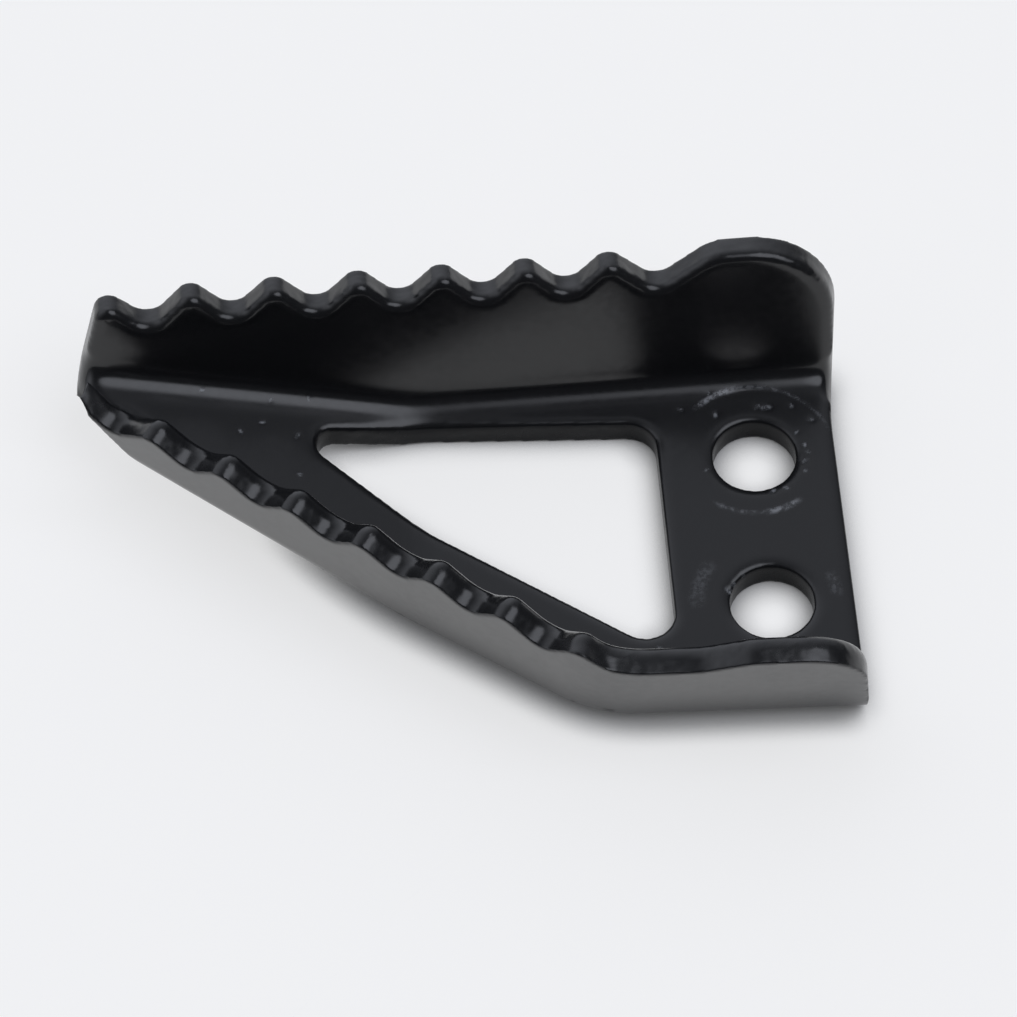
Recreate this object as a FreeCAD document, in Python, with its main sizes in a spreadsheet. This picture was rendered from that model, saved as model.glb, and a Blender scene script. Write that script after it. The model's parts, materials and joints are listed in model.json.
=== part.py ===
"""Step plate for the tip of a foot lever: one pressed sheet-steel channel.

Millimetres. The origin is midway between the two screw holes, on the flat underside.
+X runs from the tip to the screwed end, +Y to the straight toothed flange, +Z up.
"""
import FreeCAD, Part
import os

import Sketcher

Vector = FreeCAD.Vector

# Driving dimensions: alias, value, meaning. Heights on a flange run up its outer face
# from its foot, the line where that face would meet the underside.
DIMENSIONS = [
    ("sheet", 2.4, "thickness of the steel"),
    ("bend", 0.9, "inner radius where the flanges turn up"),
    ("hole_size", 6.6, "clearance hole for a 6 mm screw"),
    ("hole_pitch", 14.0, "centre distance of the two holes"),
    ("end_reach", 6.5, "holes to the square end of the web"),
    ("flare_start", 10.5, "origin line to where the end starts to flare"),
    ("flare", 7.6, "angle of the flare towards the far flange"),
    ("flare_round", 30.0, "radius where the flare starts"),
    ("tip_reach", 53.9, "holes to the tip"),
    ("end_stock", 4.0, "stock beyond the square end before trimming"),
    ("stock_height", 17.0, "stock height before the rims are cut"),
    ("far_line", 16.21, "origin to the foot of the far flange, the straight toothed one"),
    ("far_lean", 12.0, "its lean outwards"),
    ("side_line", 21.28, "origin to the foot of the side flange, which closes in on the tip"),
    ("side_heading", 36.0, "its angle to the far flange"),
    ("side_lean", 10.5, "its lean outwards"),
    ("near_line", 16.23, "origin to the foot of the near flange, the short plain one"),
    ("near_heading", 2.5, "its angle to the far flange"),
    ("near_lean", 14.5, "its lean outwards"),
    ("corner_round", 12.0, "outer radius between the side and near flanges"),
    ("crease", 27.5, "holes to the crease where the tip starts to rise"),
    ("crease_round", 14.0, "radius of the crease"),
    ("rise", 13.0, "slope of the raised tip"),
    ("peak_round", 1.2, "radius on top of a tooth"),
    ("valley_round", 1.6, "radius between two teeth"),
    ("far_peak", 15.3, "height of the far teeth before rounding"),
    ("far_depth", 3.35, "depth of the far teeth before rounding"),
    ("far_pitch", 6.63, "pitch of the far teeth"),
    ("far_gaps", 5, "full gaps between the far teeth"),
    ("far_valley", 14.0, "holes to the valley nearest them"),
    ("tip_peak", 15.1, "height of the far tooth at the tip before rounding"),
    ("tip_valley", 11.65, "height of the valley beside it before rounding"),
    ("tip_peak_reach", 51.0, "holes to the far tooth at the tip"),
    ("tip_foot", 4.5, "height where the far flange's end starts to slant"),
    ("side_peak", 13.3, "height of the side teeth before rounding"),
    ("side_depth", 2.9, "depth of the side teeth before rounding"),
    ("side_pitch", 6.45, "pitch of the side teeth"),
    ("side_gaps", 6, "full gaps between the side teeth"),
    ("side_reach", 49.2, "foot of the side flange's normal to its end"),
    ("side_tip_valley", 45.9, "the same to the wider gap before its last tooth"),
    ("side_tip_low", 10.1, "height of that gap's bottom before rounding"),
    ("side_undercut", 34.0, "slant of that end from upright"),
    ("side_valley", 6.35, "foot of the side flange's normal to its nearest valley"),
    ("far_lobe", 15.25, "height of the far lobe"),
    ("far_notch", 6.9, "holes to the valley beside the far lobe"),
    ("lobe_slope", 36.5, "slope of the far lobe's inner shoulder"),
    ("shoulder_round", 3.5, "radius of both lobes' inner shoulders"),
    ("far_lobe_round", 6.9, "radius of the far lobe's outer corner"),
    ("near_low", 11.6, "height of the near flange beside its lobe"),
    ("near_lobe", 13.2, "height of the near lobe"),
    ("near_notch", 12.8, "holes to the start of the near flange's low stretch"),
    ("near_shoulder", 6.0, "holes to the foot of the near lobe's inner shoulder"),
    ("near_slope", 22.0, "slope of that shoulder"),
    ("near_lobe_round", 5.2, "radius of the near lobe's outer corner"),
    ("near_end", 0.6, "how far that lobe's end leans back from the square end"),
    ("window_side", 7.7, "holes to the straight side of the window"),
    ("window_high", 10.8, "origin line to the window's corner by the far hole"),
    ("window_low", 11.7, "origin line to the window's corner by the near hole"),
    ("window_knee", 26.0, "holes to where the long sides of the window bend"),
    ("window_knee_high", 12.1, "origin line to the far side's bend"),
    ("window_knee_low", 1.7, "origin line to the long slanting side's bend"),
    ("window_reach", 36.9, "holes to the window's sharp corner before rounding"),
    ("window_reach_high", 11.4, "origin line to that corner"),
    ("window_round", 2.3, "radius of the window's corners by the holes"),
    ("window_tip_round", 1.5, "radius of the window's sharp corner"),
    ("window_knee_round", 12.0, "radius of the bends in its long sides"),
]

BODY_NAME = "step_plate"
CUT_SPAN = 100.0        # drawn past the stock on every side
FLANGE_CUT = 10.0       # depth of a cut through one flange that leaves the other whole
TIP_CUT = 6.0           # the same where the flanges meet at the tip
ALONG = 0.99            # cosine above which two directions count as the same
DOWNWARD = 0.9          # the same, looser, for the underside, of which the tip slopes
ACROSS = 0.7            # cosine above which an edge runs across a rim
STEEP = 0.5             # cosine of the angle to Z below which a face counts as a flange's
SIDEWAYS = 0.3          # cosine of the angle to Y above which it isn't an end of the stock
POINT = 0.01            # size below which a box counts as a point
NEAR = 0.2              # slack when two heights or places are compared
NEARLY = 1.0            # the same for places that are well apart, such as two teeth


def make_dims(doc):
    """Put the driving dimensions in a spreadsheet, one aliased cell each."""
    dims = doc.addObject("Spreadsheet::Sheet", "dims")
    for row, (alias, value, meaning) in enumerate(DIMENSIONS, start=1):
        dims.set("A%d" % row, meaning)
        dims.set("B%d" % row, str(value))
        dims.setAlias("B%d" % row, alias)
    doc.recompute()
    return dims


# ---- helpers for sketches and features -------------------------------------------

def origin_plane(body, role):
    """One of the body's own origin planes."""
    return [item for item in body.Origin.OriginFeatures if item.Role == role][0]


def new_sketch(body, name, role, offset=None):
    """Sketch on an origin plane, or on that plane moved by an expression."""
    sketch = body.newObject("Sketcher::SketchObject", name)
    sketch.AttachmentSupport = [(origin_plane(body, role), "")]
    sketch.MapMode = "FlatFace"
    if offset:
        sketch.setExpression("AttachmentOffset", offset)
    body.Document.recompute()
    return sketch


def flange_frame(line, heading, lean):
    """Offset from the XZ plane to a flange's outer face: x along it, y up it."""
    return ("placement(vector(-({0}) * sin({1}); 0; ({0}) * cos({1}));"
            " rotation(0; -({1}); {2}))".format(line, heading, lean))


def pin(sketch, geometry, point, x, y):
    """Hold a point of the sketch at a pair of expressions."""
    for kind, expression in (("DistanceX", x), ("DistanceY", y)):
        value = float(sketch.evalExpression(expression))
        index = sketch.addConstraint(
            Sketcher.Constraint(kind, -1, 1, geometry, point, value))
        sketch.setExpression("Constraints[%d]" % index, expression)


def draw_polygon(sketch, corners):
    """Closed polygon whose corners are pairs of expressions."""
    points = [Vector(float(sketch.evalExpression(x)), float(sketch.evalExpression(y)), 0)
              for x, y in corners]
    count = len(points)
    for index in range(count):
        sketch.addGeometry(Part.LineSegment(points[index], points[(index + 1) % count]))
    for index in range(count):
        after = (index + 1) % count
        sketch.addConstraint(Sketcher.Constraint("Coincident", index, 2, after, 1))
    for index, (x, y) in enumerate(corners):
        pin(sketch, index, 1, x, y)


def add_pocket(body, name, sketch, depth=CUT_SPAN):
    """Cut the sketch out to both sides of its plane, and make sure it cuts."""
    before = body.Shape.Volume
    pocket = body.newObject("PartDesign::Pocket", name)
    pocket.Profile = sketch
    pocket.Midplane = True
    pocket.Length = depth
    body.Document.recompute()
    if not pocket.Shape.Volume < before:
        raise RuntimeError(name + " cut nothing")
    return pocket


def add_pattern(body, name, feature, sketch, step, count):
    """Repeat a feature along its sketch's x axis, towards the tip."""
    before = body.Shape.Volume
    pattern = body.newObject("PartDesign::LinearPattern", name)
    pattern.Originals = [feature]
    pattern.Direction = (sketch, ["H_Axis"])
    pattern.Reversed = True
    pattern.setExpression("Length", "(%s) * (%s - 1)" % (step, count))
    pattern.setExpression("Occurrences", count)
    body.Tip = pattern
    body.Document.recompute()
    if not pattern.Shape.Volume < before:
        raise RuntimeError(name + " repeated nothing")


def add_fillet(body, name, edges, radius):
    """Round the named edges of the body's tip."""
    if not edges:
        raise RuntimeError(name + " found no edges")
    base = body.Tip
    fillet = body.newObject("PartDesign::Fillet", name)
    fillet.Base = (base, edges)
    fillet.setExpression("Radius", radius)
    body.Document.recompute()


def middle(edge):
    """Point halfway along an edge."""
    return edge.valueAt((edge.FirstParameter + edge.LastParameter) / 2)


def is_upright(edge):
    """True for an edge that is parallel to Z."""
    box = edge.BoundBox
    return box.XLength < POINT and box.YLength < POINT


def face_normal(face):
    """Outward normal in the middle of a face."""
    low_u, high_u, low_v, high_v = face.ParameterRange
    return face.normalAt((low_u + high_u) / 2, (low_v + high_v) / 2)


def pick_faces(shape, test):
    """Names of the faces that pass a test."""
    return ["Face%d" % (i + 1) for i, face in enumerate(shape.Faces) if test(face)]


def pick_edges(shape, test):
    """Names of the edges that pass a test."""
    return ["Edge%d" % (i + 1) for i, edge in enumerate(shape.Edges) if test(edge)]


# ---- the pressed channel before its rims are cut ---------------------------------

# Y of the foot of the side and of the near flange at a given X.
SIDE_FOOT = "-(dims.side_line + ({0}) * sin(dims.side_heading)) / cos(dims.side_heading)"
NEAR_FOOT = "-(dims.near_line + ({0}) * sin(dims.near_heading)) / cos(dims.near_heading)"


def add_block(body):
    """Solid block in the plan outline that the feet of the three flanges give."""
    turn = "sin(dims.side_heading - dims.near_heading)"
    corner_x = ("(dims.near_line * cos(dims.side_heading)"
                " - dims.side_line * cos(dims.near_heading)) / " + turn)
    tip_x = "-dims.tip_reach"
    end_x = "dims.end_reach + dims.end_stock"
    sketch = new_sketch(body, "outline", "XY_Plane")
    draw_polygon(sketch, [
        (tip_x, SIDE_FOOT.format(tip_x)),
        (corner_x, NEAR_FOOT.format(corner_x)),
        (end_x, NEAR_FOOT.format(end_x)),
        (end_x, "dims.far_line"),
        (tip_x, "dims.far_line"),
    ])
    block = body.newObject("PartDesign::Pad", "block")
    block.Profile = sketch
    block.setExpression("Length", "dims.stock_height")
    body.Document.recompute()


def add_lean(body, name, outward, lean):
    """Lean the side of the block that faces outward, about its foot."""
    base = body.Tip
    draft = body.newObject("PartDesign::Draft", name)
    draft.Base = (base, pick_faces(base.Shape, lambda f: face_normal(f).dot(outward) > ALONG))
    draft.NeutralPlane = (origin_plane(body, "XY_Plane"), [""])
    draft.Reversed = True
    draft.setExpression("Angle", lean)
    body.Document.recompute()


def add_rise(body):
    """Cut the underside so that the tip rises from the crease."""
    beyond = "-(dims.tip_reach + dims.end_stock)"
    sketch = new_sketch(body, "rise_outline", "XZ_Plane")
    draw_polygon(sketch, [
        ("-dims.crease", "0"),
        (beyond, "(dims.tip_reach + dims.end_stock - dims.crease) * tan(dims.rise)"),
        (beyond, "-dims.sheet"),
        ("-dims.crease", "-dims.sheet"),
    ])
    add_pocket(body, "rise_cut", sketch)


def is_fold(shape, edge):
    """True for an edge between the underside and a flange's outer face."""
    point = middle(edge)
    normals = []
    for face in shape.ancestorsOfType(edge, Part.Face):
        normals.append(face.normalAt(*face.Surface.parameter(point)))
    under = any(normal.z < -DOWNWARD for normal in normals)
    side = any(abs(normal.z) < STEEP and abs(normal.y) > SIDEWAYS for normal in normals)
    return under and side


def add_folds(body, dims):
    """Round the crease, the plan corner and the folds, then hollow the block."""
    crease_x = -dims.crease

    def is_crease(edge):
        point = middle(edge)
        on_underside = abs(point.x - crease_x) < NEAR and abs(point.z) < NEAR
        return on_underside and edge.BoundBox.YLength > dims.far_line
    add_fillet(body, "crease_fillet", pick_edges(body.Shape, is_crease), "dims.crease_round")

    def is_corner(edge):
        box = edge.BoundBox
        upright = box.ZLength > dims.stock_height - NEARLY
        return upright and box.YMax < 0 and crease_x < box.XMin and box.XMax < 0
    add_fillet(body, "corner_fillet", pick_edges(body.Shape, is_corner), "dims.corner_round")

    shape = body.Shape
    folds = pick_edges(shape, lambda edge: is_fold(shape, edge))
    add_fillet(body, "fold_fillets", folds, "dims.bend + dims.sheet")

    def is_open(face):
        normal = face_normal(face)
        flat = face.Surface.TypeId == "Part::GeomPlane"
        return flat and (normal.z > ALONG or abs(normal.x) > ALONG)
    base = body.Tip
    channel = body.newObject("PartDesign::Thickness", "channel")
    channel.Base = (base, pick_faces(base.Shape, is_open))
    channel.setExpression("Value", "dims.sheet")
    channel.Reversed = True
    channel.Join = "Intersection"
    body.Document.recompute()


# ---- openings in the web ---------------------------------------------------------

def add_holes(body):
    """Two screw holes on the Y axis."""
    sketch = new_sketch(body, "hole_outline", "XY_Plane")
    radius = float(sketch.evalExpression("dims.hole_size / 2"))
    height = float(sketch.evalExpression("dims.hole_pitch / 2"))
    sketch.addGeometry(Part.Circle(Vector(0, height, 0), Vector(0, 0, 1), radius))
    pin(sketch, 0, 3, "0", "dims.hole_pitch / 2")
    size = sketch.addConstraint(Sketcher.Constraint("Diameter", 0, 2 * radius))
    sketch.setExpression("Constraints[%d]" % size, "dims.hole_size")
    hole = add_pocket(body, "far_hole", sketch)
    before = body.Shape.Volume
    mirrored = body.newObject("PartDesign::Mirrored", "near_hole")
    mirrored.Originals = [hole]
    mirrored.MirrorPlane = (origin_plane(body, "XZ_Plane"), [""])
    body.Tip = mirrored
    body.Document.recompute()
    if not mirrored.Shape.Volume < before:
        raise RuntimeError("near_hole cut nothing")


def add_window(body, dims):
    """Three-cornered window whose long sides bend a little at the crease."""
    sketch = new_sketch(body, "window_outline", "XY_Plane")
    draw_polygon(sketch, [
        ("-dims.window_side", "-dims.window_low"),
        ("-dims.window_side", "dims.window_high"),
        ("-dims.window_knee", "dims.window_knee_high"),
        ("-dims.window_reach", "dims.window_reach_high"),
        ("-dims.window_knee", "dims.window_knee_low"),
    ])
    add_pocket(body, "window", sketch)
    places = [
        ("window_corner_rounds", "dims.window_round",
         [(-dims.window_side, -dims.window_low), (-dims.window_side, dims.window_high)]),
        ("window_tip_round", "dims.window_tip_round",
         [(-dims.window_reach, dims.window_reach_high)]),
        ("window_knee_rounds", "dims.window_knee_round",
         [(-dims.window_knee, dims.window_knee_high), (-dims.window_knee, dims.window_knee_low)]),
    ]
    for name, radius, points in places:
        def is_corner(edge):
            spot = middle(edge)
            return is_upright(edge) and any(
                abs(spot.x - x) < NEAR and abs(spot.y - y) < NEAR for x, y in points)
        add_fillet(body, name, pick_edges(body.Shape, is_corner), radius)


# ---- rims ------------------------------------------------------------------------

def add_square_end(body, dims):
    """Trim the screwed end square, with a flare towards the far flange."""
    sketch = new_sketch(body, "end_outline", "XY_Plane")
    beyond = "dims.end_reach + 2 * dims.end_stock"
    wide = "2 * dims.far_line"
    draw_polygon(sketch, [
        ("dims.end_reach", "-(%s)" % wide),
        ("dims.end_reach", "dims.flare_start"),
        ("dims.end_reach + (%s - dims.flare_start) * tan(dims.flare)" % wide, wide),
        (beyond, wide),
        (beyond, "-(%s)" % wide),
    ])
    add_pocket(body, "end_cut", sketch)

    def is_kink(edge):
        spot = middle(edge)
        return is_upright(edge) and abs(spot.y - dims.flare_start) < NEAR and spot.x > 0
    add_fillet(body, "flare_round", pick_edges(body.Shape, is_kink), "dims.flare_round")


def add_gaps(body, name, frame, foot, peak, depth, pitch, count):
    """Row of V gaps between teeth, the first one at foot along the flange."""
    top = "dims.stock_height + dims.sheet"
    valley = "%s - %s" % (peak, depth)
    half = "({0} - {1} + {2}) * {3} / (2 * {2})".format(top, peak, depth, pitch)
    sketch = new_sketch(body, name + "_outline", "XZ_Plane", frame)
    draw_polygon(sketch, [
        (foot, valley),
        ("%s + %s" % (foot, half), top),
        ("%s - %s" % (foot, half), top),
    ])
    gap = add_pocket(body, name + "_gap", sketch, FLANGE_CUT)
    add_pattern(body, name + "_gaps", gap, sketch, pitch, count)


def add_rim_cut(body, name, frame, corners, depth=FLANGE_CUT):
    """Cut a flange down to a line through the corners, given from -X to +X."""
    top = "dims.stock_height + dims.sheet"
    sketch = new_sketch(body, name + "_outline", "XZ_Plane", frame)
    draw_polygon(sketch, corners + [(corners[-1][0], top), (corners[0][0], top)])
    add_pocket(body, name + "_cut", sketch, depth)


def add_far_rim(body):
    """Teeth, lobe and slanting end of the far flange."""
    frame = flange_frame("-dims.far_line", "0", "-dims.far_lean")
    add_gaps(body, "far", frame, "-dims.far_valley", "dims.far_peak", "dims.far_depth",
             "dims.far_pitch", "dims.far_gaps")
    last_tooth = "-(dims.far_valley - dims.far_pitch / 2)"
    add_rim_cut(body, "far_lobe", frame, [
        (last_tooth, "dims.far_peak"),
        ("-dims.far_notch", "dims.far_peak - dims.far_depth"),
        ("-dims.far_notch + (dims.far_lobe - dims.far_peak + dims.far_depth)"
         " / tan(dims.lobe_slope)", "dims.far_lobe"),
        ("dims.end_reach + 2 * dims.end_stock", "dims.far_lobe"),
    ])
    first_tooth = "-(dims.far_valley + (dims.far_gaps - 0.5) * dims.far_pitch)"
    add_rim_cut(body, "far_tip", frame, [
        ("-dims.tip_reach - dims.end_stock", "dims.tip_foot"),
        ("-dims.tip_reach", "dims.tip_foot"),
        ("-dims.tip_peak_reach", "dims.tip_peak"),
        ("%s - dims.far_pitch / 2" % first_tooth, "dims.tip_valley"),
        (first_tooth, "dims.far_peak"),
    ])


def add_side_rim(body):
    """Teeth of the side flange, the last of them wider and cut back under at the tip."""
    frame = flange_frame("dims.side_line", "dims.side_heading", "dims.side_lean")
    add_gaps(body, "side", frame, "-dims.side_valley", "dims.side_peak", "dims.side_depth",
             "dims.side_pitch", "dims.side_gaps")
    add_rim_cut(body, "side_tip", frame, [
        ("-dims.tip_reach - dims.end_stock", "0"),
        ("-dims.side_reach + dims.side_peak * tan(dims.side_undercut)", "0"),
        ("-dims.side_reach", "dims.side_peak"),
        ("-dims.side_tip_valley", "dims.side_tip_low"),
        ("-(dims.side_valley + (dims.side_gaps - 0.5) * dims.side_pitch)", "dims.side_peak"),
    ], TIP_CUT)


def add_near_rim(body):
    """Flank of the last tooth, low stretch, lobe and leaning end of the near flange."""
    frame = flange_frame("dims.near_line", "dims.near_heading", "dims.near_lean")
    end = ("(dims.end_reach + dims.near_line * sin(dims.near_heading))"
           " / cos(dims.near_heading)")
    add_rim_cut(body, "near", frame, [
        ("-dims.near_notch - (dims.stock_height - dims.near_low) / tan(dims.lobe_slope)",
         "dims.stock_height"),
        ("-dims.near_notch", "dims.near_low"),
        ("-dims.near_shoulder", "dims.near_low"),
        ("-dims.near_shoulder + (dims.near_lobe - dims.near_low) / tan(dims.near_slope)",
         "dims.near_lobe"),
        (end + " - dims.near_end", "dims.near_lobe"),
        (end, "dims.sheet + dims.bend"),
        ("dims.end_reach + 2 * dims.end_stock", "dims.sheet + dims.bend"),
    ])


def rim_edges(body, flange, test):
    """Edges across a flange's rim whose place (along, up) on the flange passes a test."""
    frame = body.Document.getObject(flange + "_outline").Placement
    across = frame.Rotation.multVec(Vector(0, 0, 1))
    to_frame = frame.inverse()

    def passes(edge):
        if edge.Curve.TypeId != "Part::GeomLine":
            return False
        place = to_frame.multVec(middle(edge))
        straight = abs(edge.tangentAt(edge.FirstParameter).dot(across)) > ACROSS
        return straight and abs(place.z) < FLANGE_CUT / 2 and test(place.x, place.y)
    return pick_edges(body.Shape, passes)


def add_rim_rounds(body, dims):
    """Round the teeth, valleys, shoulders and lobes."""
    last_far = -(dims.far_valley - dims.far_pitch / 2)
    last_side = -(dims.side_valley - dims.side_pitch / 2)
    far_valleys = dims.far_peak - dims.far_depth
    side_valleys = dims.side_peak - dims.side_depth

    rounds = [
        ("far_lobe_corner", "far_lobe", "dims.far_lobe_round",
         lambda along, up: along > dims.end_reach and up > dims.far_lobe - NEAR),
        ("far_shoulder", "far_lobe", "dims.shoulder_round",
         lambda along, up: last_far + NEARLY < along < 0 and up > dims.far_lobe - NEAR),
        ("far_valley_rounds", "far_lobe", "dims.valley_round",
         lambda along, up: along < -dims.far_notch + NEARLY
         and dims.tip_valley - NEAR < up < far_valleys + NEAR),
        ("far_peak_rounds", "far_lobe", "dims.peak_round",
         lambda along, up: along < last_far + NEAR and up > dims.tip_peak - NEAR),
        ("near_lobe_corner", "near", "dims.near_lobe_round",
         lambda along, up: along > dims.end_reach - NEARLY and up > dims.near_lobe - NEAR),
        ("near_shoulders", "near", "dims.shoulder_round",
         lambda along, up: -dims.near_shoulder - NEARLY < along < NEARLY
         and up > dims.near_low - NEAR),
        ("near_valley_round", "near", "dims.valley_round",
         lambda along, up: abs(along + dims.near_notch) < NEARLY
         and abs(up - dims.near_low) < NEAR),
        ("side_valley_rounds", "side_tip", "dims.valley_round",
         lambda along, up: along < 0
         and dims.side_tip_low - NEAR < up < side_valleys + NEAR),
        ("side_peak_rounds", "side_tip", "dims.peak_round",
         lambda along, up: -dims.side_reach + NEARLY < along < last_side - NEARLY
         and abs(up - dims.side_peak) < NEAR),
        ("corner_peak_round", "side_tip", "dims.peak_round",
         lambda along, up: abs(along - last_side) < NEARLY
         and abs(up - dims.side_peak) < NEARLY),
    ]
    for name, flange, radius, test in rounds:
        add_fillet(body, name, rim_edges(body, flange, test), radius)


# ---- the part --------------------------------------------------------------------

def build(doc):
    """The plate as one body."""
    dims = make_dims(doc)
    body = doc.addObject("PartDesign::Body", BODY_NAME)
    body.Label = BODY_NAME
    body.Placement = FreeCAD.Placement()
    add_block(body)
    for name, direction, heading, lean in (
            ("far_lean", Vector(0, 1, 0), 0.0, "dims.far_lean"),
            ("side_lean", Vector(0, -1, 0), dims.side_heading, "dims.side_lean"),
            ("near_lean", Vector(0, -1, 0), dims.near_heading, "dims.near_lean")):
        outward = FreeCAD.Rotation(Vector(0, 0, 1), -heading).multVec(direction)
        add_lean(body, name, outward, lean)
    add_rise(body)
    add_folds(body, dims)
    add_holes(body)
    add_window(body, dims)
    add_square_end(body, dims)
    add_far_rim(body)
    add_side_rim(body)
    add_near_rim(body)
    add_rim_rounds(body, dims)
    return [body]


def check(doc, bodies):
    """Stop on any failed object or unsound shape."""
    doc.recompute()
    for item in doc.Objects:
        if "Invalid" in item.State or "Error" in item.State:
            raise RuntimeError("%s is %s" % (item.Name, item.State))
    for body in bodies:
        if body.Shape.isNull() or not body.Shape.isValid() or len(body.Shape.Solids) != 1:
            raise RuntimeError(body.Label + " has an unsound shape")


def main():
    doc = FreeCAD.newDocument(BODY_NAME)
    bodies = build(doc)
    check(doc, bodies)
    os.makedirs("parts", exist_ok=True)
    for body in bodies:
        body.Shape.exportStep("parts/%s.step" % body.Label)


main()
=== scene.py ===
"""Looks of the step plate: glossy black coating over pressed steel, on a pale studio floor.

Metres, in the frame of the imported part: the origin is midway between the two screw holes
on the underside, +X towards the screwed end, +Y towards the straight toothed flange.
"""

import json
import math

import bmesh
import bpy
import numpy as np
from mathutils import Matrix, Vector
from mathutils.bvhtree import BVHTree


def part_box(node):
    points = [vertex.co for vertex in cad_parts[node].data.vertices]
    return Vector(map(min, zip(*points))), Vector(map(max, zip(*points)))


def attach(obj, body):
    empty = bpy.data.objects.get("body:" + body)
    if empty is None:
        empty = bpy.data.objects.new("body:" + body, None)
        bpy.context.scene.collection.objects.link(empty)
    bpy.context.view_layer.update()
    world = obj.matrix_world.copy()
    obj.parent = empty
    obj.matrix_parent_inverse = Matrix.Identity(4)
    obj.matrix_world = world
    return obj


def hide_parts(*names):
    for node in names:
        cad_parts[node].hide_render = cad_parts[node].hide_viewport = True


MM = 0.001

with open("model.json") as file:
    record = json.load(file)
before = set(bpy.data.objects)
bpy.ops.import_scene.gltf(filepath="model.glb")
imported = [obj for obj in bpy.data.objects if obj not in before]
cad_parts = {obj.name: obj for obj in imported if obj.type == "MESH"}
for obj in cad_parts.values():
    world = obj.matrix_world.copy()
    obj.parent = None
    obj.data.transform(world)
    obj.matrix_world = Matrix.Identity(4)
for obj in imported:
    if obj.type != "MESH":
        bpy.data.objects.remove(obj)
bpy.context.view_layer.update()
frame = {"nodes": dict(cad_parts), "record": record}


# ---- places taken from the frame ---------------------------------------------------

node = frame["nodes"]["step_plate"]
box_low, box_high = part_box("step_plate")
MIDDLE_HEIGHT = (box_low.z + box_high.z) / 2
holes = next(m for m in frame["record"]["mounts"] if m["name"] == "screw_holes")
HOLE_RADIUS = holes["dims"]["hole_r_mm"] * MM
HOLE_SLACK = 0.05 * MM      # how far a vertex of a hole's rim may be off its circle
FAR_HOLE = Vector((0, holes["dims"]["spacing_y_mm"] * MM / 2, 0))
NEAR_HOLE = -FAR_HOLE


def top_of_web():
    """Height of the web's upper face, from the rim of the far hole."""
    rim = [v.co.z for v in node.data.vertices
           if abs((v.co.xy - FAR_HOLE.xy).length - HOLE_RADIUS) < HOLE_SLACK]
    return max(rim)


WEB_TOP = top_of_web()      # this is also the thickness of the sheet
WEB_SKIN = 0.85 * WEB_TOP   # marks are made in what lies above this height
RIM_START = 2 * WEB_TOP     # above this height a cut edge starts to count as a flange's rim
RIM_FULL = 4 * WEB_TOP


# ---- sizes of the pressing's details and marks -------------------------------------

VOXEL = 0.15 * MM
WELD = VOXEL / 1000         # corners closer than this become one vertex
SMOOTH_FACTOR = 0.5         # how far one smoothing pass moves a vertex
SMOOTHING = 12              # passes that take off the sharpness of every edge
BEND_SMOOTHING = 480        # passes that ease the inner bend of the far flange
BEND_REACH = 2.2 * MM       # how far beyond the bend these passes fade out
TIP_EASE = 2.4 * MM         # size of the round on the side flange's tip
WEIGHT_STEPS = 20           # levels in which a modifier's weights are stored

PARALLEL = 0.99             # cosine above which two faces count as parallel
PROBE_START = 0.01 * WEB_TOP        # a face's search for its other side starts this deep
SHEET_SLACK = 0.05 * WEB_TOP        # how far that side may be off the sheet's thickness
HOLLOW = 0.1                # radians: upper faces that meet in a sharper hollow are a bend
BEND_FACING = (-0.9, -0.1)  # how far towards -Y the faces of the far bend look

ROLL_WIDTH = 1.0 * MM       # rounding that blanking leaves on the upper side of cut edges
ROLL_DEPTH = 0.55 * MM      # on the far rim
NEAR_ROLL_DEPTH = 1.1 * MM  # on the near and side rims
WEB_ROLL_DEPTH = 0.25 * MM  # round the window and the holes
ROLL_SEARCH = 2 * WEB_TOP   # how far off a point's upper face may be
CUT_SKIN = 0.25 * MM        # how close to a cut edge the surface counts as cut

SEAT_RADIUS = 6.5 * MM      # mark left by a screw's flange round the far hole
SEAT_CLEARANCE = 0.02 * MM  # above the web
SEAT_EDGE = 0.15 * MM
SEAT_REACH = 3.0 * MM       # it presses only what is this close above the web

# Rub marks round the holes: centre, radius, width, start and end in degrees, strength.
RUBS = [
    (FAR_HOLE, 6.5 * MM, 0.35 * MM, 100, 128, 0.9),
    (FAR_HOLE, 6.5 * MM, 0.18 * MM, 20, 100, 0.3),
    (FAR_HOLE, 5.6 * MM, 0.28 * MM, 232, 278, 0.35),
    (FAR_HOLE, 5.6 * MM, 0.40 * MM, 276, 302, 0.8),
    (NEAR_HOLE, 5.9 * MM, 0.9 * MM, 140, 178, 0.18),
    (NEAR_HOLE, 5.2 * MM, 0.7 * MM, 2, 24, 0.18),
]
RUB_FADE = 6.0              # degrees over which a rub mark's ends fade, to either side

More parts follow.
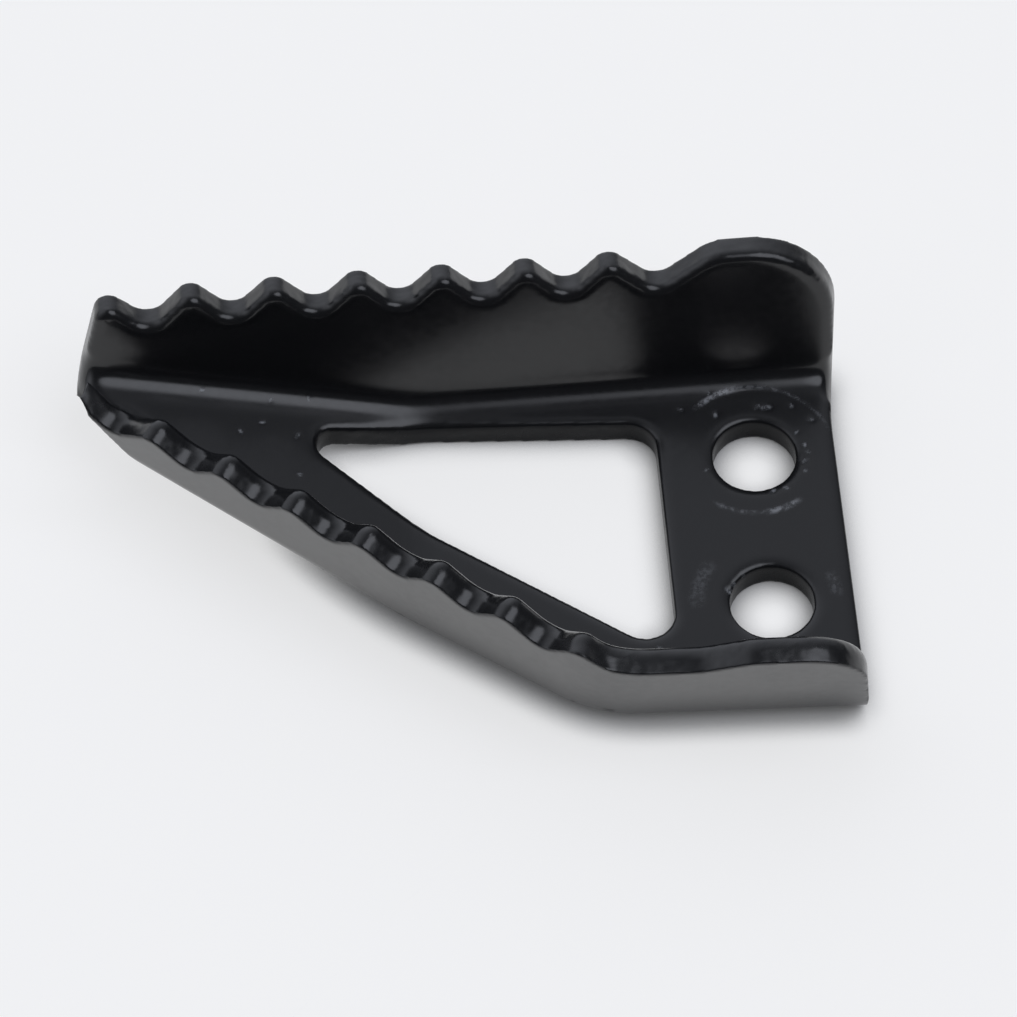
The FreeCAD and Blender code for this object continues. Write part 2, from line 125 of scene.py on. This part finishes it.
# Chips in the coating: place along X and Y, radius, depth. Each is turned by one radian
# more than the one before it.
CHIPS = [(x * MM, y * MM, radius * MM, depth * MM) for x, y, radius, depth in (
    (1.4, 11.5, 0.40, 0.12), (0.7, 11.6, 0.26, 0.09), (3.4, 11.5, 0.22, 0.08),
    (4.9, 10.0, 0.28, 0.10), (3.6, 8.9, 0.20, 0.07), (4.1, 7.6, 0.22, 0.08),
    (4.3, 6.9, 0.16, 0.06), (4.0, 6.1, 0.30, 0.10), (3.9, 5.1, 0.18, 0.07),
    (2.2, 3.6, 0.24, 0.08), (1.1, 3.4, 0.30, 0.09), (-2.7, 11.2, 0.32, 0.06),
    (-5.5, 11.9, 0.22, 0.09), (-3.9, 5.9, 0.20, 0.06), (-3.1, 13.2, 0.16, 0.06),
    (-3.2, -5.7, 0.40, 0.16), (-2.7, -5.1, 0.30, 0.12), (-2.0, -4.4, 0.26, 0.10),
    (-9.2, -10.6, 0.20, 0.06), (-38.9, 11.8, 0.22, 0.07), (-36.2, 10.7, 0.26, 0.10),
    (-40.7, 10.8, 0.22, 0.07), (-43.5, 14.4, 0.22, 0.07), (-38.1, 13.9, 0.20, 0.06),
    (-35.1, 14.1, 0.20, 0.06), (-36.2, 6.9, 0.20, 0.06), (-34.0, 11.2, 0.18, 0.05),
)]
CHIP_STRETCH = 1.5          # a chip is this many times as long as its radius says
CHIP_SQUEEZE = 1.3          # and this many times narrower


# ---- meshes and points -------------------------------------------------------------

def smooth_step(low, high, value):
    """0 up to low, 1 from high on, with a smooth rise between them."""
    t = np.clip((value - low) / (high - low), 0, 1)
    return t * t * (3 - 2 * t)


def welded_cad():
    """Copy of the CAD node's mesh with one vertex at each corner."""
    welded = bmesh.new()
    welded.from_mesh(node.data)
    bmesh.ops.remove_doubles(welded, verts=welded.verts, dist=WELD)
    bmesh.ops.triangulate(welded, faces=welded.faces)
    return welded


def with_modifier(mesh, kind, weights=None, **settings):
    """The mesh after one modifier, which may be held back by a weight on each vertex."""
    holder = bpy.data.objects.new("holder", mesh)
    bpy.context.scene.collection.objects.link(holder)
    modifier = holder.modifiers.new("modifier", kind)
    for name, value in settings.items():
        setattr(modifier, name, value)
    if weights is not None:
        group = holder.vertex_groups.new(name="weights")
        levels = np.round(weights * WEIGHT_STEPS).astype(int)
        for level in range(1, WEIGHT_STEPS + 1):
            members = np.flatnonzero(levels == level).tolist()
            group.add(members, level / WEIGHT_STEPS, "REPLACE")
        modifier.vertex_group = group.name
    result = bpy.data.meshes.new_from_object(
        holder.evaluated_get(bpy.context.evaluated_depsgraph_get()))
    bpy.data.objects.remove(holder)
    return result


def points_of(mesh):
    """The mesh's vertices as an array of places."""
    points = np.empty(len(mesh.vertices) * 3, np.float32)
    mesh.vertices.foreach_get("co", points)
    return points.reshape(-1, 3)


def store(mesh, name, values):
    """Keep one number for each vertex where a material can read it."""
    mesh.attributes.new(name, "FLOAT", "POINT").data.foreach_set("value", values)


def tree_of(faces):
    """Search tree of some triangles."""
    corners = [corner.co.copy() for face in faces for corner in face.verts]
    return BVHTree.FromPolygons(corners, [(i, i + 1, i + 2) for i in range(0, len(corners), 3)])


def split_faces(solid):
    """Trees of the sheet's upper faces, of its cut edges and of the far inner bend.

    A face of the sheet has a parallel face one thickness behind it. A cut edge has not.
    """
    whole = BVHTree.FromBMesh(solid)
    upper, cut = set(), set()
    for face in solid.faces:
        inward = -face.normal
        start = face.calc_center_median() + inward * PROBE_START
        hit, normal, index, distance = whole.ray_cast(start, inward)
        sheet = (hit is not None and normal.dot(inward) > PARALLEL
                 and abs(distance + PROBE_START - WEB_TOP) < SHEET_SLACK)
        if not sheet:
            cut.add(face)
        elif face.normal.z > 0:
            upper.add(face)
    bend = {face for edge in solid.edges for face in edge.link_faces
            if edge.calc_face_angle_signed(0) < -HOLLOW and upper.issuperset(edge.link_faces)
            and BEND_FACING[0] < face.normal.y < BEND_FACING[1]}
    return [tree_of([face for face in solid.faces if face in group])
            for group in (upper, cut, bend)]


def nearness(points, tree, reach):
    """1 on the tree's faces, falling to 0 at the reach."""
    near = np.zeros(len(points), np.float32)
    for index, point in enumerate(points):
        place, normal, face, distance = tree.find_nearest(Vector(point), reach)
        if place is not None:
            near[index] = 1 - distance / reach
    return near


def side_tip(points):
    """Sharp upper corner of the side flange's end, the furthest point of its rim."""
    rim = points[points[:, 2] > MIDDLE_HEIGHT]
    rim = rim[rim[:, 1] < FAR_HOLE.y + SEAT_RADIUS]
    return rim[np.argmin(rim[:, 0])]


# ---- what pressing, blanking and use leave on the plate ----------------------------

def rim_share(points):
    """1 on the flanges' rims, 0 on the web."""
    return smooth_step(RIM_START, RIM_FULL, points[:, 2])


def roll_edges(points, upper, from_cut, tip):
    """Draw the sheet's upper side down towards its cut edges, as blanking does.

    The roll fades out at the side flange's tip, where two rolls would leave a thorn.
    """
    on_rim = rim_share(points)
    off_tip = smooth_step(TIP_EASE / 2, 2 * TIP_EASE, np.linalg.norm(points - tip, axis=1))
    for index in np.flatnonzero(from_cut > 0):
        place, normal, face, depth = upper.find_nearest(Vector(points[index]), ROLL_SEARCH)
        if place is None:
            continue
        rim_depth = NEAR_ROLL_DEPTH if normal.y > 0 else ROLL_DEPTH
        full = WEB_ROLL_DEPTH + (rim_depth - WEB_ROLL_DEPTH) * on_rim[index]
        drop = full * off_tip[index] * (1 - math.sqrt(1 - from_cut[index] ** 2))
        points[index] -= np.array(normal) * drop * max(0, 1 - depth / WEB_TOP)


def press_seat(points):
    """Flatten the round seat about the far hole, which bites into the bend behind it."""
    reach = np.hypot(points[:, 0] - FAR_HOLE.x, points[:, 1] - FAR_HOLE.y)
    inside = 1 - smooth_step(SEAT_RADIUS - SEAT_EDGE, SEAT_RADIUS, reach)
    above = np.maximum(points[:, 2] - (WEB_TOP + SEAT_CLEARANCE), 0)
    points[:, 2] -= np.where(above < SEAT_REACH, above * inside, 0)


def rubbed(points):
    """How far the coating is rubbed at each point, 0 to 1."""
    worn = np.zeros(len(points), np.float32)
    web = points[:, 2] > WEB_SKIN
    for centre, radius, width, start, end, strength in RUBS:
        across = points[:, 0] - centre.x
        along = points[:, 1] - centre.y
        turn = np.degrees(np.arctan2(along, across)) % 360
        from_ring = np.abs(np.hypot(across, along) - radius)
        inside = smooth_step(start - RUB_FADE, start + RUB_FADE, turn) \
            * (1 - smooth_step(end - RUB_FADE, end + RUB_FADE, turn))
        streak = 1 - smooth_step(0, width, from_ring)
        worn = np.maximum(worn, strength * streak * inside * web)
    return worn


def press_chips(points, worn):
    """Dent the web at each chip and mark it as bare."""
    web = points[:, 2] > WEB_SKIN
    for turn, (x, y, radius, depth) in enumerate(CHIPS):
        long = (points[:, 0] - x) * math.cos(turn) + (points[:, 1] - y) * math.sin(turn)
        short = (points[:, 1] - y) * math.cos(turn) - (points[:, 0] - x) * math.sin(turn)
        away = np.hypot(long / CHIP_STRETCH, short * CHIP_SQUEEZE)
        bowl = (1 - smooth_step(0, radius, away)) * web
        points[:, 2] -= depth * bowl
        worn[:] = np.maximum(worn, bowl)


def build_plate():
    """The visual plate, with its cut edges, opening walls (for their painted shade) and wear
    stored for the coating.
    """
    solid = welded_cad()
    upper, cut, bend = split_faces(solid)
    mesh = bpy.data.meshes.new("plate")
    solid.to_mesh(mesh)
    solid.free()
    mesh = with_modifier(mesh, "REMESH", mode="VOXEL", voxel_size=VOXEL)

    points = points_of(mesh)
    tip = side_tip(points)
    from_tip = np.linalg.norm(points - tip, axis=1)
    eased = smooth_step(0, 1, nearness(points, bend, BEND_REACH))
    eased = np.maximum(eased, 1 - smooth_step(0, TIP_EASE, from_tip))
    mesh = with_modifier(mesh, "SMOOTH", eased, factor=SMOOTH_FACTOR, iterations=BEND_SMOOTHING)

    points = points_of(mesh)
    from_cut = nearness(points, cut, ROLL_WIDTH)
    cut_skin = smooth_step(1 - CUT_SKIN / ROLL_WIDTH, 1, from_cut)
    # cut edges below the rims, as round the window and the holes, which the coating dims as
    # painted shade
    shaded_wall_skin = cut_skin * (1 - rim_share(points))
    roll_edges(points, upper, from_cut, tip)
    press_seat(points)
    worn = rubbed(points)
    press_chips(points, worn)
    mesh.vertices.foreach_set("co", points.ravel())
    mesh = with_modifier(mesh, "SMOOTH", factor=SMOOTH_FACTOR, iterations=SMOOTHING)

    store(mesh, "cut", cut_skin)
    store(mesh, "wall", shaded_wall_skin)
    store(mesh, "worn", worn)
    mesh.shade_smooth()
    plate = bpy.data.objects.new("coated_plate", mesh)
    bpy.context.scene.collection.objects.link(plate)
    return plate


# ---- materials ---------------------------------------------------------------------

class Nodes:
    """Short way to build a shader: each call adds one node and links its inputs."""

    def __init__(self, tree):
        self.tree = tree
        tree.nodes.clear()

    def add(self, kind, inputs=(), **settings):
        """One node: its inputs are sockets to link or plain values."""
        made = self.tree.nodes.new("ShaderNode" + kind)
        for name, value in settings.items():
            setattr(made, name, value)
        for name, value in dict(inputs).items():
            if isinstance(value, bpy.types.NodeSocket):
                self.tree.links.new(value, made.inputs[name])
            else:
                made.inputs[name].default_value = value
        return made

    def math(self, operation, *values):
        """Result of one arithmetic operation."""
        return self.add("Math", enumerate(values), operation=operation).outputs[0]

    def ramp(self, value, span, result):
        """The value carried smoothly from one pair of limits to another."""
        return self.add("MapRange", {"Value": value, "From Min": span[0], "From Max": span[1],
                                     "To Min": result[0], "To Max": result[1]},
                        interpolation_type="SMOOTHSTEP").outputs["Result"]

    def noise(self, place, size, detail=2.0, roughness=0.5):
        """Noise whose features are about size metres across."""
        return self.add("TexNoise", {"Vector": place, "Scale": 1 / size, "Detail": detail,
                                     "Roughness": roughness}).outputs["Fac"]

    def stored(self, name):
        """What the mesh stores at each vertex under a name."""
        return self.add("Attribute", attribute_name=name).outputs["Fac"]

    def mixed_colour(self, share, first, second):
        """Two colours mixed: Blender numbers the Mix node's colour sockets 6, 7 and 2."""
        return self.add("Mix", {"Factor": share, 6: first, 7: second},
                        data_type="RGBA").outputs[2]


COAT_COLOUR = (0.0095, 0.0098, 0.0108, 1)
COAT_IOR = 1.5
COAT_SHINE = 0.5            # level of the coating's reflections
SHADED_WALL_SHINE = 0.12           # the same on the web's cut edges: painted shade that dims the walls of the window and the holes
PATCH_SIZE = 9 * MM         # broad patches of slightly different roughness
PATCH_ROUGHNESS = (0.17, 0.23)
PEEL_SIZE = 0.7 * MM        # fine unevenness of the coating
PEEL_ROUGHNESS = (-0.02, 0.03)      # added to the patches' roughness
PEEL_DEPTH = 0.004 * MM
PEEL_STRENGTH = 0.6
NOISE_SPAN = (0.3, 0.7)     # where most of a noise's values lie

TORN_SIZE = 1.3 * MM        # unevenness that blanking leaves on cut edges
TORN_DEPTH = 0.07 * MM
TORN_ROUGHNESS = 0.03       # added

RUBBED_COLOUR = (0.30, 0.31, 0.33, 1)
RUBBED_ROUGHNESS = 0.3      # added
FLAKE_SIZE = 0.5 * MM       # wear comes off in flakes
FLAKE_SPAN = (0.42, 0.60)
FLAKE_SHARE = (0.15, 1.0)   # wear between the flakes and in them


def coating():
    """Semi-gloss black, a little rougher on cut edges, paler and much rougher where worn, with
    painted shade dimming the reflections of the cut edges below the rims.
    """
    material = bpy.data.materials.new("black_coating")
    material.use_nodes = True
    n = Nodes(material.node_tree)
    place = n.add("TexCoord").outputs["Object"]
    patches = n.noise(place, PATCH_SIZE)
    peel = n.noise(place, PEEL_SIZE, detail=3.0)
    flakes = n.noise(place, FLAKE_SIZE, detail=4.0, roughness=0.7)
    tears = n.noise(place, TORN_SIZE, detail=1.0)
    cut = n.stored("cut")
    worn = n.math("MULTIPLY", n.stored("worn"), n.ramp(flakes, FLAKE_SPAN, FLAKE_SHARE))

    roughness = n.math("ADD", n.ramp(patches, NOISE_SPAN, PATCH_ROUGHNESS),
                       n.ramp(peel, NOISE_SPAN, PEEL_ROUGHNESS))
    roughness = n.math("MULTIPLY_ADD", cut, TORN_ROUGHNESS, roughness)
    roughness = n.math("MULTIPLY_ADD", worn, RUBBED_ROUGHNESS, roughness)

    torn = n.add("Bump", {"Height": tears, "Strength": cut, "Distance": TORN_DEPTH})
    uneven = n.add("Bump", {"Height": peel, "Strength": PEEL_STRENGTH, "Distance": PEEL_DEPTH,
                            "Normal": torn.outputs["Normal"]})
    shader = n.add("BsdfPrincipled", {
        "Base Color": n.mixed_colour(worn, COAT_COLOUR, RUBBED_COLOUR),
        "Roughness": roughness,
        "IOR": COAT_IOR,
        # painted shade: reflections dimmed on the cut edges below the rims
        "Specular IOR Level": n.ramp(n.stored("wall"), (0, 1), (COAT_SHINE, SHADED_WALL_SHINE)),
        "Normal": uneven.outputs["Normal"],
    })
    n.add("OutputMaterial", {"Surface": shader.outputs[0]})
    return material


FLOOR_COLOUR = (0.35, 0.35, 0.35, 1)
FLOOR_GLOW = (0.06, 0.65)       # brightness that the floor adds, in the shadow and outside it
SHADOW_REACH = 3 * MM           # how far the shadow reaches from the plate
SHADOW_SPAN = (0.30, 0.95)      # openness of the floor over which the shadow fades
SHADOW_SAMPLES = 8


def floor_paint():
    """Pale paint that glows a little except in a narrow shadow close to the plate."""
    material = bpy.data.materials.new("floor")
    material.use_nodes = True
    n = Nodes(material.node_tree)
    diffuse = n.add("BsdfDiffuse", {"Color": FLOOR_COLOUR})
    openness = n.add("AmbientOcclusion", {"Distance": SHADOW_REACH},
                     samples=SHADOW_SAMPLES).outputs["AO"]
    glow = n.add("Emission", {"Color": (1, 1, 1, 1),
                              "Strength": n.ramp(openness, SHADOW_SPAN, FLOOR_GLOW)})
    both = n.add("AddShader", {0: diffuse.outputs[0], 1: glow.outputs[0]})
    n.add("OutputMaterial", {"Surface": both.outputs[0]})
    return material


# ---- the plate, dressed ------------------------------------------------------------

plate = build_plate()
plate.data.materials.clear()
plate.data.materials.append(coating())
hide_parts("step_plate")
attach(plate, "root")


# ---- studio ------------------------------------------------------------------------

FLOOR_REACH = 2.0           # from its middle to each side
FLOOR_GAP = 0.02 * MM       # below the plate


def build_floor():
    """Flat floor just under the plate."""
    mesh = bpy.data.meshes.new("floor")
    corners = [(x * FLOOR_REACH, y * FLOOR_REACH, 0)
               for x, y in ((-1, -1), (1, -1), (1, 1), (-1, 1))]
    mesh.from_pydata(corners, [], [(0, 1, 2, 3)])
    floor = bpy.data.objects.new("floor", mesh)
    floor.location.z = box_low.z - FLOOR_GAP
    mesh.materials.append(floor_paint())
    bpy.context.scene.collection.objects.link(floor)


# Broad glows: direction they come from, how narrow, strength. A glow fades with the power
# "narrow" of the cosine of the angle from its direction.
GLOWS = [
    ((-0.15, 0.92, 0.37), 3, 1.0),      # pale wall behind
    ((-0.80, 0.10, 0.55), 8, 1.0),      # window on the left
]
# Overhead panel to the right of the camera: direction, edge in degrees from its middle,
# dark beyond the first angle and full inside the second, and strength.
PANEL_SOURCE = (0.46, -0.22, 0.86)
PANEL_EDGE = (30, 17)
PANEL_STRENGTH = 2.2
SKY = 0.06                  # brightness everywhere else
SKY_COLOUR = (0.95, 0.985, 1.08, 1)


def build_light():
    """Sky with soft patches of brightness, each round one direction."""
    world = bpy.data.worlds.new("studio")
    world.use_nodes = True
    bpy.context.scene.world = world
    n = Nodes(world.node_tree)
    direction = n.add("TexCoord").outputs["Generated"]

    def closeness(source):
        toward = Vector(source).normalized()
        return n.add("VectorMath", {0: direction, 1: toward},
                     operation="DOT_PRODUCT").outputs["Value"]

    panel_span = [math.cos(math.radians(angle)) for angle in PANEL_EDGE]
    panel = n.ramp(closeness(PANEL_SOURCE), panel_span, (0, PANEL_STRENGTH))
    strength = n.math("ADD", panel, SKY)
    for source, narrow, power in GLOWS:
        patch = n.math("POWER", n.math("MAXIMUM", closeness(source), 0.0), narrow)
        strength = n.math("MULTIPLY_ADD", patch, power, strength)
    sky = n.add("Background", {"Color": SKY_COLOUR, "Strength": strength})
    n.add("OutputWorld", {"Surface": sky.outputs[0]})


CAMERA_AZIMUTH = -2.83      # degrees from straight in front: below 0 is towards -X
CAMERA_ELEVATION = 55.73
CAMERA_ROLL = -1.93
CAMERA_DISTANCE = 479 * MM
CAMERA_AIM = Vector((-19.85, 5.21, 0.0)) * MM
CAMERA_LENS = 212.4         # millimetres, as is the sensor
CAMERA_SENSOR = 36
CAMERA_NEAR = 10 * MM       # nothing closer than this is drawn


def build_camera():
    """Camera at a distance from its aim, tilted by the roll."""
    azimuth, elevation, roll = map(
        math.radians, (CAMERA_AZIMUTH, CAMERA_ELEVATION, CAMERA_ROLL))
    back = Vector((math.sin(azimuth) * math.cos(elevation),
                   -math.cos(azimuth) * math.cos(elevation), math.sin(elevation)))
    level = Vector((math.cos(azimuth), math.sin(azimuth), 0))
    upward = back.cross(level)
    right = level * math.cos(roll) + upward * math.sin(roll)
    up = upward * math.cos(roll) - level * math.sin(roll)
    camera = bpy.data.objects.new("camera", bpy.data.cameras.new("camera"))
    bpy.context.scene.collection.objects.link(camera)
    camera.matrix_world = Matrix((
        (right.x, up.x, back.x, 0), (right.y, up.y, back.y, 0),
        (right.z, up.z, back.z, 0), (0, 0, 0, 1)))
    camera.location = CAMERA_AIM + back * CAMERA_DISTANCE
    camera.data.lens = CAMERA_LENS
    camera.data.sensor_width = CAMERA_SENSOR
    camera.data.clip_start = CAMERA_NEAR
    bpy.context.scene.camera = camera


build_floor()
build_light()
build_camera()
bpy.context.scene.view_settings.view_transform = "Standard"
